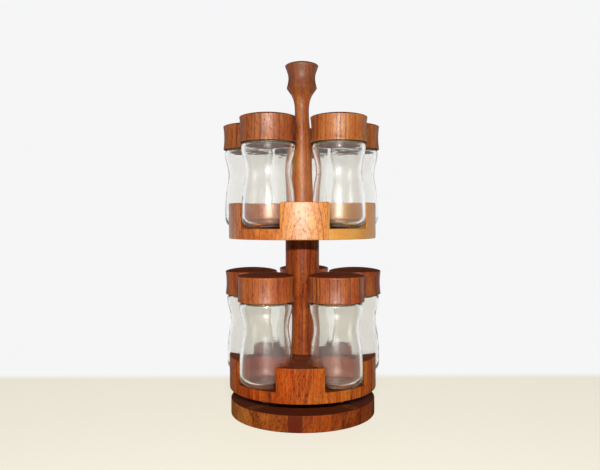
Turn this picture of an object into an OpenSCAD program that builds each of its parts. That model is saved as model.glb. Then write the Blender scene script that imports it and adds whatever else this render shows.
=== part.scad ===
// Two-tier spice rack: a wooden carousel on a ball bearing, with ten lidded glass jars in its pockets.
// The origin is the middle of the face that it stands on, +Z is up and the front is -Y.

/* [Base] */
// Diameter of the base disc
base_d = 137.5; // [115:0.5:160]
// Thickness of the base disc
base_t = 15.1; // [12:0.1:24]
// Rounding of the edges of the base and the tiers
edge_r = 0.8; // [0.4:0.1:3]
// Diameter of the felt pad under the base
felt_d = 124; // [108:1:130]
// Thickness of the felt pad
felt_t = 1.2; // [0.8:0.1:3]
// How far the felt stands out of its recess
felt_proud = 0.4; // [0.2:0.1:0.7]
// Diameter of the hole that a screwdriver goes through when the bearing is fitted
access_d = 13; // [9:0.5:16]

/* [Bearing] */
// Width of the square bearing plates
plate_w = 76.2; // [68:0.2:90]
// Thickness of the plate metal
plate_t = 1.2; // [0.8:0.1:2]
// How far a plate's rounded corners stand back from the square's tips
plate_corner_cut = 3.9; // [2:0.1:4.5]
// Diameter of the hole in the middle of each plate
plate_hole_d = 32; // [20:1:42]
// Distance of a screw's middle from the plate's sides
screw_edge = 5.6; // [5.4:0.1:6.4]
// Distance of the circle that the balls run on from the plate's sides
race_edge = 9.1; // [7.5:0.1:12]
// Diameter of a ball
ball_d = 6; // [4:0.1:7]
// Number of balls
ball_count = 24; // [8:1:25]
// Room between a ball and its race
race_clear = 0.15; // [0.05:0.01:0.25]
// Height of the race's pressed trough above the wood
race_rise = 0.65; // [0.2:0.05:1.5]
// Gap between the lips of the two races
race_gap = 2; // [1:0.1:3]

/* [Bearing screws] */
// Shank diameter of a bearing screw
screw_d = 3.5; // [2.5:0.1:4.2]
// Head diameter of a bearing screw
screw_head_d = 7; // [5:0.1:8]
// Head height of a bearing screw
screw_head_h = 2.2; // [1.5:0.1:2.4]
// Length of a lower screw under its head
lower_screw_l = 10; // [6:0.5:12]
// Length of an upper screw under its head
upper_screw_l = 8; // [5:0.5:9]

/* [Tiers] */
// Diameter of a tier
tier_d = 140; // [128:0.5:165]
// Height of the lower tier
lower_tier_h = 31; // [24:0.1:45]
// Height of the upper tier
upper_tier_h = 32.9; // [24:0.1:45]
// Thickness of wood under the pockets
floor_t = 9.7; // [9:0.1:14]
// Number of jars in a tier
jars_per_tier = 5; // [3:1:6]
// Diameter of the circle that the jars' centres lie on
jar_circle_d = 107.3; // [101:0.1:118]
// Room round a jar in its pocket
pocket_clear = 1.1; // [0.5:0.1:2.5]
// Turn of the lower tier about the post, in degrees
lower_turn = -2; // [-36:0.1:36]
// Turn of the upper tier about the post, in degrees
upper_turn = 1.6; // [-36:0.1:36]

/* [Column] */
// Height of the column between the tiers
column_h = 110.2; // [104:0.1:150]
// Diameter of the column under the upper tier
column_top_d = 32.2; // [22:0.1:40]
// Length of the straight part at the column's top
column_straight = 29; // [10:0.5:40]
// Diameter of the column's waist
column_waist_d = 20.5; // [15:0.1:28]
// Height of the waist above the lower tier
column_waist_h = 31; // [15:0.5:50]
// Diameter of the column's foot on the lower tier
column_foot_d = 22.8; // [18:0.1:34]

/* [Handle] */
// Diameter of the handle's foot on the upper tier
handle_foot_d = 21.4; // [17:0.1:30]
// Diameter of the handle's lower shaft
handle_shaft_d = 19; // [15:0.1:26]
// Height at which the lower shaft starts to thin
handle_shaft_h = 38.5; // [25:0.5:60]
// Diameter of the handle's neck
handle_neck_d = 13.4; // [11:0.1:18]
// Height of the neck above the upper tier
handle_neck_h = 87.1; // [75:0.1:100]
// Diameter of the sharp ridge under the knob
ridge_d = 28.9; // [20:0.1:36]
// Height of the cove between the neck and the ridge
cove_h = 22.8; // [15:0.1:35]
// Diameter of the knob's rim
knob_d = 31.8; // [26:0.1:42]
// Diameter of the knob's waist
knob_waist_d = 25.6; // [16:0.1:27]
// Height of the knob's side, from the ridge to the rim
knob_h = 20.9; // [14:0.1:32]
// Height of the dome on the knob
knob_dome = 4; // [2:0.1:12]

/* [Tie rod] */
// Diameter of the steel rod that holds the tiers and posts together
rod_d = 6; // [4:0.1:8]
// Depth to which the rod screws into the handle
rod_grip = 30; // [15:0.5:60]
// Room round the rod in its bore
rod_clear = 0.25; // [0.1:0.05:0.6]
// Depth of the counterbore under the lower tier
counterbore_h = 9; // [8:0.1:16]
// Diameter of the counterbore
counterbore_d = 22; // [20:0.5:28]
// Diameter of the washer
washer_d = 18; // [14:0.5:19]
// Thickness of the washer
washer_t = 1.5; // [0.8:0.1:2]
// Width of the nut across its flats
nut_w = 10; // [9.6:0.1:13]
// Height of the nut
nut_h = 5; // [3:0.1:5.5]

/* [Jar] */
// Height of a jar
jar_h = 76.2; // [65:0.1:90]
// Largest diameter of a jar
jar_d = 48; // [42:0.1:52]
// Diameter of the jar's waist
jar_waist_d = 41.2; // [34:0.1:44]
// Height of the waist above the jar's foot
jar_waist_h = 50.5; // [42:0.1:58]
// Height at which the jar's side starts to draw in
jar_side_h = 13; // [9:0.1:25]
// Height of the rounded shoulder under the rim
jar_neck_h = 4.6; // [2.5:0.1:8]
// How far the shoulder draws in up to the rim
shoulder_in = 1.6; // [0.4:0.1:1.8]
// Radius of the jar's foot corner
jar_corner_r = 9.3; // [4:0.1:11]
// Thickness of the glass wall
glass_t = 2.4; // [2:0.1:4]
// Thickness of the glass in the jar's bottom
glass_bottom_t = 3.8; // [2.5:0.1:6]
// Diameter of the hollow under the jar's bottom
punt_d = 24; // [16:0.5:28]
// Depth of the hollow under the jar's bottom
punt_h = 0.9; // [0.3:0.1:1.8]

/* [Lid] */
// Diameter of a lid
lid_d = 50.8; // [46:0.1:54]
// Height of a lid at its edge
lid_h = 23; // [16:0.1:28]
// How far the lid's side is hollowed
lid_hollow = 0.85; // [0.2:0.05:2]
// Height of the dome on the lid
lid_dome = 3; // [1:0.05:5]
// Rounding of the lid's edges
lid_edge_r = 0.7; // [0.2:0.1:1.5]
// Depth of the lid's plug in the jar
plug_h = 2.6; // [2:0.1:6]
// Thickness of the rubber seal round the plug
seal_t = 3.8; // [2:0.1:6]
// Room between the seal and the glass
seal_clear = 0.3; // [0.1:0.05:0.6]
// Height of the two lips round the seal
seal_lip = 0.4; // [0.1:0.05:1]

/* [Hidden] */
$fn = 96;

// Steps in a curve of a turned outline, and in a small rounded edge
curve_steps = 10;
edge_steps = 5;
foot_steps = 10;

// Clearance of a screw or a rod in the hole that it is threaded into
thread_clear = 0.05;
// Thickness of the flat rim of the glass that the lid rests on, as a share of the wall
rim_flat_share = 0.45;
// Length of rod that shows below its nut
rod_end = 1.2;
// Extra length that takes a cut past a face
cut = 1;

// Heights of the stack, from the table up
base_z = felt_proud;
bearing_z = base_z + base_t;
bearing_h = ball_d + 2 * (race_clear + plate_t + race_rise);
ball_z = bearing_z + bearing_h / 2;
lower_z = bearing_z + bearing_h;
column_z = lower_z + lower_tier_h;
upper_z = column_z + column_h;
handle_z = upper_z + upper_tier_h;
tier_z = [lower_z, upper_z];
tier_h = [lower_tier_h, upper_tier_h];
tier_turn = [lower_turn, upper_turn];
tier_names = ["lower", "upper"];

// Radii of the pockets and the jar's inside
pocket_r = jar_d / 2 + pocket_clear;
mouth_r = jar_d / 2 - glass_t;
rim_round = (glass_t - shoulder_in) * (1 - rim_flat_share);
seal_r = mouth_r - seal_clear;
plug_r = seal_r - seal_lip - seal_t;

// Layout of the bearing plates: the screws, the rounded corners and the balls' circle
screw_spacing = plate_w - 2 * screw_edge;
screw_r = screw_spacing / sqrt(2);
plate_corner_d = plate_w * sqrt(2) - 2 * plate_corner_cut;
race_d = plate_w - 2 * race_edge;
race_out_r = ball_d / 2 + race_clear + plate_t;

// Points of a cubic curve from a to d with the handles b and c, without its first point
function curve(a, b, c, d) = [
    for (k = [1:curve_steps])
        let (t = k / curve_steps, u = 1 - t)
        u * u * u * a + 3 * u * u * t * b + 3 * u * t * t * c + t * t * t * d
];

// Points of an arc round c from angle a0 to angle a1
function arc(c, r, a0, a1, steps) = [
    for (k = [0:steps])
        let (a = a0 + (a1 - a0) * k / steps)
        c + r * [cos(a), sin(a)]
];

// Outline of half a disc with rounded edges
function disc_outline(r, h, e) = concat(
    [[0, 0]],
    arc([r - e, e], e, -90, 0, edge_steps),
    arc([r - e, h - e], e, 0, 90, edge_steps),
    [[0, h]]
);

module disc(r, h, e) {
    rotate_extrude()
        polygon(disc_outline(r, h, e));
}

// Places its children at the bearing plates' four screws
module at_screws() {
    for (x = [-1, 1], y = [-1, 1])
        translate([x * screw_spacing / 2, y * screw_spacing / 2, 0])
            children();
}

// Places its children on the floor of pocket i of tier t, counted round from the front left
module at_pocket(t, i) {
    turn = -90 - 360 / jars_per_tier * (i - 0.5) + tier_turn[t];
    rotate([0, 0, turn])
        translate([jar_circle_d / 2, 0, tier_z[t] + floor_t])
            children();
}

// Base

module base_disc() {
    color("peru")
        translate([0, 0, base_z])
            difference() {
                disc(base_d / 2, base_t, edge_r);
                translate([0, 0, -cut])
                    cylinder(d = felt_d, h = felt_t - felt_proud + cut);
                translate([0, screw_r, -cut])
                    cylinder(d = access_d, h = base_t + 2 * cut);
                translate([0, 0, base_t - lower_screw_l + plate_t])
                    at_screws()
                        cylinder(d = screw_d + 2 * thread_clear, h = lower_screw_l);
            }
}

module base_felt() {
    color("darkolivegreen")
        cylinder(d = felt_d, h = felt_t);
}

// Bearing

// A lower bearing plate lying on z = 0, with the trough that the balls run in
module bearing_plate() {
    difference() {
        intersection() {
            translate([-plate_w / 2, -plate_w / 2, 0])
                cube([plate_w, plate_w, plate_t]);
            cylinder(d = plate_corner_d, h = plate_t);
        }
        translate([0, 0, -cut])
            cylinder(d = race_d, h = plate_t + 2 * cut);
        translate([0, 0, -cut])
            at_screws()
                cylinder(d = screw_d + 2 * thread_clear, h = plate_t + 2 * cut);
    }
    rotate_extrude()
        race_section();
}

// Section of a plate's middle: the flat ring and the trough round the ball's path
module race_section() {
    lip_z = bearing_h / 2 - race_gap / 2;
    difference() {
        union() {
            translate([plate_hole_d / 2, 0])
                square([plate_w / 2 - plate_hole_d / 2, plate_t]);
            intersection() {
                translate([race_d / 2, bearing_h / 2])
                    circle(r = race_out_r);
                translate([race_d / 2 - race_out_r, 0])
                    square([2 * race_out_r, lip_z]);
            }
        }
        translate([race_d / 2, bearing_h / 2])
            circle(r = ball_d / 2 + race_clear);
    }
}

// A round-headed screw with the underside of its head on z = 0, pointing down
module screw(length) {
    head_r = screw_head_d / 2;
    rotate_extrude()
        polygon(concat(
            [[0, -length], [screw_d / 4, -length], [screw_d / 2, -length + screw_d / 2]],
            [[screw_d / 2, 0], [head_r, 0], [head_r, screw_head_h / 3]],
            curve([head_r, screw_head_h / 3], [head_r * 0.9, screw_head_h * 0.8],
                [head_r / 2, screw_head_h], [0, screw_head_h])
        ));
}

module bearing_lower_plate() {
    color("lightsteelblue")
        translate([0, 0, bearing_z])
            bearing_plate();
}

module bearing_upper_plate() {
    color("lightsteelblue")
        translate([0, 0, lower_z])
            mirror([0, 0, 1])
                bearing_plate();
}

module bearing_lower_screws() {
    color("silver")
        translate([0, 0, bearing_z + plate_t])
            at_screws()
                screw(lower_screw_l);
}

module bearing_upper_screws() {
    color("silver")
        translate([0, 0, lower_z - plate_t])
            mirror([0, 0, 1])
                at_screws()
                    screw(upper_screw_l);
}

module bearing_balls() {
    color("gainsboro")
        for (k = [0:ball_count - 1])
            rotate([0, 0, 360 / ball_count * k])
                translate([race_d / 2, 0, ball_z])
                    sphere(d = ball_d);
}

// Tiers

// A tier standing at its own height, with its pockets and the rod's bore
module tier(t) {
    difference() {
        translate([0, 0, tier_z[t]])
            disc(tier_d / 2, tier_h[t], edge_r);
        for (i = [1:jars_per_tier])
            at_pocket(t, i)
                cylinder(r = pocket_r, h = tier_h[t]);
        translate([0, 0, tier_z[t] - cut])
            cylinder(d = rod_d + 2 * rod_clear, h = tier_h[t] + 2 * cut);
    }
}

module tier_lower() {
    color("chocolate")
        difference() {
            tier(0);
            translate([0, 0, lower_z - cut])
                cylinder(d = counterbore_d, h = counterbore_h + cut);
            translate([0, 0, lower_z - cut])
                at_screws()
                    cylinder(d = screw_d + 2 * thread_clear, h = upper_screw_l - plate_t + cut);
        }
}

module tier_upper() {
    color("burlywood")
        tier(1);
}

// Posts

module column() {
    foot = [column_foot_d / 2, 0];
    waist = [column_waist_d / 2, column_waist_h];
    shoulder = [column_top_d / 2, column_h - column_straight];
    swell = shoulder - waist;
    color("sienna")
        translate([0, 0, column_z])
            difference() {
                rotate_extrude()
                    polygon(concat(
                        [[0, 0], foot],
                        curve(foot, [foot.x + (waist.x - foot.x) * 0.4, waist.y * 0.3],
                            [waist.x, waist.y * 0.6], waist),
                        curve(waist, waist + [0, swell.y * 0.45], shoulder - [0, swell.y * 0.35], shoulder),
                        [[column_top_d / 2, column_h], [0, column_h]]
                    ));
                translate([0, 0, -cut])
                    cylinder(d = rod_d + 2 * rod_clear, h = column_h + 2 * cut);
            }
}

module handle_post() {
    foot = [handle_foot_d / 2, 0];
    shaft = [handle_shaft_d / 2, handle_shaft_h];
    neck = [handle_neck_d / 2, handle_neck_h];
    ridge = [ridge_d / 2, handle_neck_h + cove_h];
    rim = [knob_d / 2, ridge.y + knob_h];
    top = [0, rim.y + knob_dome];
    thin = neck - shaft;
    cove = ridge - neck;
    // The curve runs a little inside the waist's radius between its two handles
    waist_pull = (knob_waist_d / 2 - (ridge.x + rim.x) / 8) * 4 / 3;
    color("sienna")
        translate([0, 0, handle_z])
            difference() {
                rotate_extrude()
                    polygon(concat(
                        [[0, 0], foot],
                        curve(foot, (foot + [shaft.x, shaft.y]) / 2 + [0, shaft.y * 0.1],
                            [shaft.x, shaft.y * 0.6], shaft),
                        curve(shaft, shaft + [0, thin.y * 0.38], neck - [0, thin.y * 0.16], neck),
                        curve(neck, neck + [0, cove.y * 0.68], ridge - [cove.x * 0.36, cove.y * 0.22], ridge),
                        curve(ridge, [waist_pull, ridge.y + knob_h * 0.46],
                            [waist_pull, rim.y - knob_h * 0.48], rim),
                        curve(rim, rim + [0, knob_dome * 0.4], [rim.x * 0.6, top.y], top)
                    ));
                translate([0, 0, -cut])
                    cylinder(d = rod_d + 2 * thread_clear, h = rod_grip + cut);
            }
}

// Tie rod

washer_z = lower_z + counterbore_h - washer_t;
nut_z = washer_z - nut_h;

module tie_rod() {
    color("silver")
        translate([0, 0, nut_z - rod_end])
            cylinder(d = rod_d, h = handle_z + rod_grip - nut_z + rod_end);
}

module tie_washer() {
    color("lightgray")
        translate([0, 0, washer_z])
            difference() {
                cylinder(d = washer_d, h = washer_t);
                translate([0, 0, -cut])
                    cylinder(d = rod_d + 2 * rod_clear, h = washer_t + 2 * cut);
            }
}

module tie_nut() {
    color("lightgray")
        translate([0, 0, nut_z])
            difference() {
                cylinder(d = nut_w / cos(30), h = nut_h, $fn = 6);
                translate([0, 0, -cut])
                    cylinder(d = rod_d + 2 * thread_clear, h = nut_h + 2 * cut);
            }
}

// Jars

// The jar's side from the foot's height up to the neck, drawn in by t for the inside
function jar_side(t) =
    let (
        side = [jar_d / 2 - t, jar_side_h],
        waist = [jar_waist_d / 2 - t, jar_waist_h],
        neck = [jar_d / 2 - t, jar_h - jar_neck_h],
        draw = waist.y - side.y,
        flare = neck.y - waist.y
    )
    concat(
        [side],
        curve(side, side + [0, draw * 0.69], waist - [0, draw * 0.19], waist),
        curve(waist, waist + [0, flare * 0.5], neck - [0.3, flare * 0.34], neck)
    );

function reversed(list) = [for (k = [len(list) - 1:-1:0]) list[k]];

function jar_outline() =
    let (
        out_r = jar_d / 2,
        foot_in_r = jar_corner_r - glass_t,
        neck = [out_r, jar_h - jar_neck_h],
        rim = [out_r - shoulder_in, jar_h]
    )
    concat(
        [[0, punt_h], [punt_d / 2 - 2, punt_h * 0.8], [punt_d / 2, 0]],
        arc([out_r - jar_corner_r, jar_corner_r], jar_corner_r, -90, 0, foot_steps),
        jar_side(0),
        curve(neck, neck + [0, jar_neck_h * 0.58], rim + [shoulder_in * 0.5, -jar_neck_h * 0.1], rim),
        arc([mouth_r + rim_round, jar_h - rim_round], rim_round, 90, 180, edge_steps),
        reversed(jar_side(glass_t)),
        arc([mouth_r - foot_in_r, glass_bottom_t + foot_in_r], foot_in_r, 0, -90, foot_steps),
        [[0, glass_bottom_t]]
    );

module jar() {
    color([0.82, 0.9, 0.88, 0.4])
        rotate_extrude()
            polygon(jar_outline());
}

// Lids

module lid() {
    r = lid_d / 2;
    pull = lid_hollow * 4 / 3;
    top = lid_h + lid_dome;
    color("saddlebrown")
        rotate_extrude()
            polygon(concat(
                [[0, -plug_h], [plug_r, -plug_h], [plug_r, 0], [r - lid_edge_r, 0], [r, lid_edge_r]],
                curve([r, lid_edge_r], [r - pull, lid_h / 3], [r - pull, lid_h * 2 / 3],
                    [r, lid_h - lid_edge_r]),
                curve([r, lid_h - lid_edge_r], [r, lid_h + lid_dome * 0.25], [r * 0.55, top], [0, top])
            ));
}

// The rubber ring round the lid's plug, with a lip near each edge
module seal() {
    in_r = plug_r + thread_clear;
    ring_r = seal_r - seal_lip;
    color("dimgray")
        rotate_extrude()
            polygon([
                [in_r, -plug_h], [ring_r, -plug_h],
                [seal_r, -plug_h * 0.75], [ring_r, -plug_h * 0.6],
                [ring_r, -plug_h * 0.4],
                [seal_r, -plug_h * 0.25], [ring_r, 0],
                [in_r, 0]
            ]);
}

base_disc();
base_felt();
bearing_lower_plate();
bearing_lower_screws();
bearing_balls();
bearing_upper_plate();
bearing_upper_screws();
tier_lower();
column();
tier_upper();
handle_post();
tie_rod();
tie_washer();
tie_nut();

for (t = [0, 1], i = [1:jars_per_tier]) {
    pocket = str("_", tier_names[t], "_", i);
    at_pocket(t, i) jar();
    at_pocket(t, i) translate([0, 0, jar_h]) lid();
    at_pocket(t, i) translate([0, 0, jar_h]) seal();
}
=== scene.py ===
"""Looks of a two-tier spice rack: turned and oiled teak, pressed glass jars, rubber seals, felt and plated steel.

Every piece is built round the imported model's own places. Section sizes are millimetres, and meshes are metres.
"""
import logging
import math
from dataclasses import dataclass, field
from enum import Enum

import bmesh
import bpy
from mathutils import Euler, Matrix, Vector
from mathutils.geometry import interpolate_bezier


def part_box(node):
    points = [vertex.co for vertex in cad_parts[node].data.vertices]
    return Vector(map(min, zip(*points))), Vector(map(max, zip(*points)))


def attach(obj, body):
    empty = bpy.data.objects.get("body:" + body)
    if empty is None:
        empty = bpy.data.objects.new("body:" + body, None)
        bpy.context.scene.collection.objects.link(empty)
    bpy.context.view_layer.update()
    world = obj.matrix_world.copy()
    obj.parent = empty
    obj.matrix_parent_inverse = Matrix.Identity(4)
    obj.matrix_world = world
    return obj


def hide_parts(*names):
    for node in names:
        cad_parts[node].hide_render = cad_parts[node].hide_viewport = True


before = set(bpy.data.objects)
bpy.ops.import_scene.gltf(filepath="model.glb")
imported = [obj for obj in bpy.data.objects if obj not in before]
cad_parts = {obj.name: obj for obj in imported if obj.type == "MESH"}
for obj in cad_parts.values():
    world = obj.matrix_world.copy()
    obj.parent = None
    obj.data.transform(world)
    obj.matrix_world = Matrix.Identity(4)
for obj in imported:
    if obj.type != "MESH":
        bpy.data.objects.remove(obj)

LOG = logging.getLogger("spice_rack")
MM = 0.001
Colour = tuple[float, float, float]
Pair = tuple[float, float]


class Level(Enum):
    """The two tiers, by the word that their pieces' names hold."""

    LOWER = "lower"
    UPPER = "upper"


# Node graphs


class Graph:
    """A node tree with short calls that add nodes and join them."""

    def __init__(self, tree: bpy.types.NodeTree) -> None:
        """Keeps the tree that nodes are added to."""
        self.tree = tree

    def add(self, kind: str, inputs: dict | None = None, **settings: object) -> bpy.types.Node:
        """Adds a node.

        Args:
            kind: the node's type, without the words ShaderNode.
            inputs: values or sockets by input name or number.
            **settings: the node's own properties.

        Returns:
            The new node.
        """
        made = self.tree.nodes.new("ShaderNode" + kind)
        for name, value in settings.items():
            setattr(made, name, value)
        for name, value in (inputs or {}).items():
            self.feed(made.inputs[name], value)
        return made

    def feed(self, socket: bpy.types.NodeSocket, value: object) -> None:
        """Sets an input to a value, or joins it to an output socket."""
        if isinstance(value, bpy.types.NodeSocket):
            self.tree.links.new(value, socket)
        else:
            socket.default_value = value

    def math(self, operation: str, a: object, b: object = 0.0, c: object = 0.0) -> bpy.types.NodeSocket:
        """Returns the output of a Math node."""
        return self.add("Math", {0: a, 1: b, 2: c}, operation=operation).outputs[0]

    def vector(self, operation: str, a: object, b: object = (0.0, 0.0, 0.0)) -> bpy.types.NodeSocket:
        """Returns the vector output of a Vector Math node."""
        return self.add("VectorMath", {0: a, 1: b}, operation=operation).outputs[0]

    def scaled(self, vector: object, factor: object) -> bpy.types.NodeSocket:
        """Returns a vector times a number."""
        return self.add("VectorMath", {0: vector, "Scale": factor}, operation="SCALE").outputs[0]

    def noise(self, vector: object, detail: float = 2.0, rough: float = 0.5) -> bpy.types.NodeSocket:
        """Returns a three-dimensional noise of the vector, about 0 to 1."""
        inputs = {"Vector": vector, "Scale": 1.0, "Detail": detail, "Roughness": rough}
        return self.add("TexNoise", inputs).outputs["Fac"]

    def line_noise(self, value: object, detail: float, rough: float) -> bpy.types.NodeSocket:
        """Returns a noise that changes along one number only."""
        inputs = {"W": value, "Scale": 1.0, "Detail": detail, "Roughness": rough}
        return self.add("TexNoise", inputs, noise_dimensions="1D").outputs["Fac"]

    def ramp(self, value: object, low: object, high: object) -> bpy.types.NodeSocket:
        """Returns 0 below low, 1 above high and a smooth rise between."""
        inputs = {"Value": value, "From Min": low, "From Max": high}
        return self.add("MapRange", inputs, interpolation_type="SMOOTHSTEP").outputs["Result"]

    def mixed(self, share: object, a: object, b: object, blend: str = "MIX") -> bpy.types.NodeSocket:
        """Returns a mix of two colours."""
        made = self.add("Mix", data_type="RGBA", blend_type=blend)
        for name, value in (("Factor_Float", share), ("A_Color", a), ("B_Color", b)):
            socket = next(s for s in made.inputs if s.identifier == name)
            self.feed(socket, value)
        return next(s for s in made.outputs if s.identifier == "Result_Color")

    def group(self, tree: bpy.types.NodeTree, inputs: dict) -> bpy.types.Node:
        """Adds a node group with its inputs."""
        made = self.add("Group")
        made.node_tree = tree
        for name, value in inputs.items():
            self.feed(made.inputs[name], value)
        return made


@dataclass
class Effect:
    """A shared node group that is built once and placed in many materials."""

    name: str
    tree: bpy.types.NodeTree | None = None

    def inputs(self) -> dict[str, tuple[str, object]]:
        """Returns each input's name with its socket kind and value."""
        return {}

    def outputs(self) -> dict[str, str]:
        """Returns each output's name with its socket kind."""
        return {}

    def wire(self, graph: Graph, given: bpy.types.Node) -> dict[str, bpy.types.NodeSocket]:
        """Builds the nodes between the group's inputs and outputs."""
        raise NotImplementedError

    def group(self) -> bpy.types.NodeTree:
        """Returns the node group, which the first call builds."""
        if self.tree is None:
            self.tree = bpy.data.node_groups.new(self.name, "ShaderNodeTree")
            for name, (kind, value) in self.inputs().items():
                socket = self.tree.interface.new_socket(name, in_out="INPUT", socket_type="NodeSocket" + kind)
                if value is not None:
                    socket.default_value = value
            for name, kind in self.outputs().items():
                self.tree.interface.new_socket(name, in_out="OUTPUT", socket_type="NodeSocket" + kind)
            given = self.tree.nodes.new("NodeGroupInput")
            taken = self.tree.nodes.new("NodeGroupOutput")
            for name, socket in self.wire(Graph(self.tree), given).items():
                self.tree.links.new(socket, taken.inputs[name])
        return self.tree


class TeakFigure(Effect):
    """Growth rings round a pith, ribbon stripes, fibres and pores of teak, in millimetres."""

    def inputs(self) -> dict[str, tuple[str, object]]:
        """Returns the group's inputs."""
        return {
            "Vector": ("Vector", None),
            "Ring": ("Float", 2.4),
            "Stripe": ("Float", 0.5),
            "Line": ("Float", 0.4),
            "Fleck": ("Float", 0.25),
            "Tone": ("Float", 0.0),
            "Gold": ("Float", 0.0),
            "Drift": ("Float", 4.0),
            "Light": ("Color", (0.6, 0.19, 0.03, 1.0)),
            "Mid": ("Color", (0.4, 0.085, 0.009, 1.0)),
            "Dark": ("Color", (0.13, 0.02, 0.004, 1.0)),
            "End": ("Float", 0.0),
        }

    def outputs(self) -> dict[str, str]:
        """Returns the group's outputs."""
        return {"Color": "Color", "Roughness": "Float", "Height": "Float"}

    def wire(self, graph: Graph, given: bpy.types.Node) -> dict[str, bpy.types.NodeSocket]:
        """Builds the figure.

        Args:
            graph: the group's tree.
            given: the group's input node.

        Returns:
            The colour, what the surface is rougher by and its height.
        """
        point = given.outputs["Vector"]
        slow = graph.vector("MULTIPLY", point, (0.022, 0.022, 0.007))
        drift = graph.add("TexNoise", {"Vector": slow, "Scale": 1.0, "Detail": 2.0}).outputs["Color"]
        drift = graph.scaled(graph.vector("SUBTRACT", drift, (0.5, 0.5, 0.5)), given.outputs["Drift"])
        bent = graph.vector("ADD", point, drift)
        flat = graph.vector("MULTIPLY", bent, (1.0, 1.0, 0.0))
        radius = graph.add("VectorMath", {0: flat}, operation="LENGTH").outputs["Value"]
        ring = graph.math("DIVIDE", radius, given.outputs["Ring"])
        band = graph.ramp(graph.line_noise(graph.math("MULTIPLY", ring, 0.4), 3.0, 0.6), 0.3, 0.72)
        uneven = graph.math("MULTIPLY_ADD", graph.line_noise(graph.math("MULTIPLY", ring, 0.3), 1.0, 0.5), 3.0, ring)
        saw = graph.math("FRACT", uneven)
        late = graph.math("MULTIPLY", graph.ramp(saw, 0.6, 0.9), graph.ramp(saw, 1.0, 0.94))
        late = graph.math("MULTIPLY", late, graph.ramp(graph.line_noise(ring, 1.0, 0.5), 0.3, 0.65))
        fibre = graph.noise(graph.vector("MULTIPLY", bent, (1.3, 1.3, 0.06)), 5.0, 0.68)
        streak = graph.noise(graph.vector("MULTIPLY", bent, (0.4, 0.4, 0.012)), 3.0, 0.6)
        pore = graph.ramp(graph.noise(graph.vector("MULTIPLY", bent, (2.4, 2.4, 0.3)), 2.0, 0.6), 0.58, 0.7)
        fleck = graph.ramp(graph.noise(graph.vector("MULTIPLY", bent, (1.15, 1.15, 0.28)), 1.0, 0.5), 0.5, 0.68)
        blotch = graph.noise(graph.vector("MULTIPLY", bent, (0.06, 0.06, 0.025)), 2.0, 0.5)
        share = graph.math("MULTIPLY_ADD", graph.math("SUBTRACT", band, 0.5), given.outputs["Stripe"], 0.47)
        share = graph.math("MULTIPLY_ADD", late, given.outputs["Line"], share)
        share = graph.math("MULTIPLY_ADD", graph.math("SUBTRACT", fibre, 0.5), 1.0, share)
        share = graph.math("MULTIPLY_ADD", graph.math("SUBTRACT", streak, 0.5), 0.5, share)
        share = graph.math("MULTIPLY_ADD", graph.math("SUBTRACT", fleck, 0.3), given.outputs["Fleck"], share)
        share = graph.math("MULTIPLY_ADD", graph.math("SUBTRACT", blotch, 0.5), 0.4, share)
        share = graph.math("ADD", share, given.outputs["Tone"])
        low = graph.math("MULTIPLY", share, 2.0)
        low.node.use_clamp = True
        high = graph.math("MULTIPLY_ADD", share, 2.0, -1.0)
        high.node.use_clamp = True
        colour = graph.mixed(low, given.outputs["Light"], given.outputs["Mid"])
        colour = graph.mixed(high, colour, given.outputs["Dark"])
        warmth = graph.math("MULTIPLY_ADD", given.outputs["Gold"], 0.5, graph.math("SUBTRACT", 1.5, streak))
        warmth = graph.math("SUBTRACT", warmth, blotch)
        tint = graph.mixed(warmth, (1.0, 0.55, 0.2, 1.0), (0.97, 1.4, 2.2, 1.0))
        colour = graph.mixed(1.0, colour, tint, "MULTIPLY")
        # Pores, end grain and painted shade on tops and undersides darken the colour towards the dark colour.
        pores_end_grain_and_shade = graph.math("MULTIPLY_ADD", pore, 0.6, graph.math("MULTIPLY", given.outputs["End"], 0.75))
        pores_end_grain_and_shade.node.use_clamp = True
        colour = graph.mixed(pores_end_grain_and_shade, colour, given.outputs["Dark"])
        rough = graph.math("MULTIPLY_ADD", fibre, 0.14, graph.math("MULTIPLY", pore, 0.15))
        rough = graph.math("MULTIPLY_ADD", given.outputs["End"], 0.4, rough)
        height = graph.math("MULTIPLY_ADD", pore, -1.0, graph.math("MULTIPLY", fibre, 0.5))
        return {"Color": colour, "Roughness": rough, "Height": height}


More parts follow.
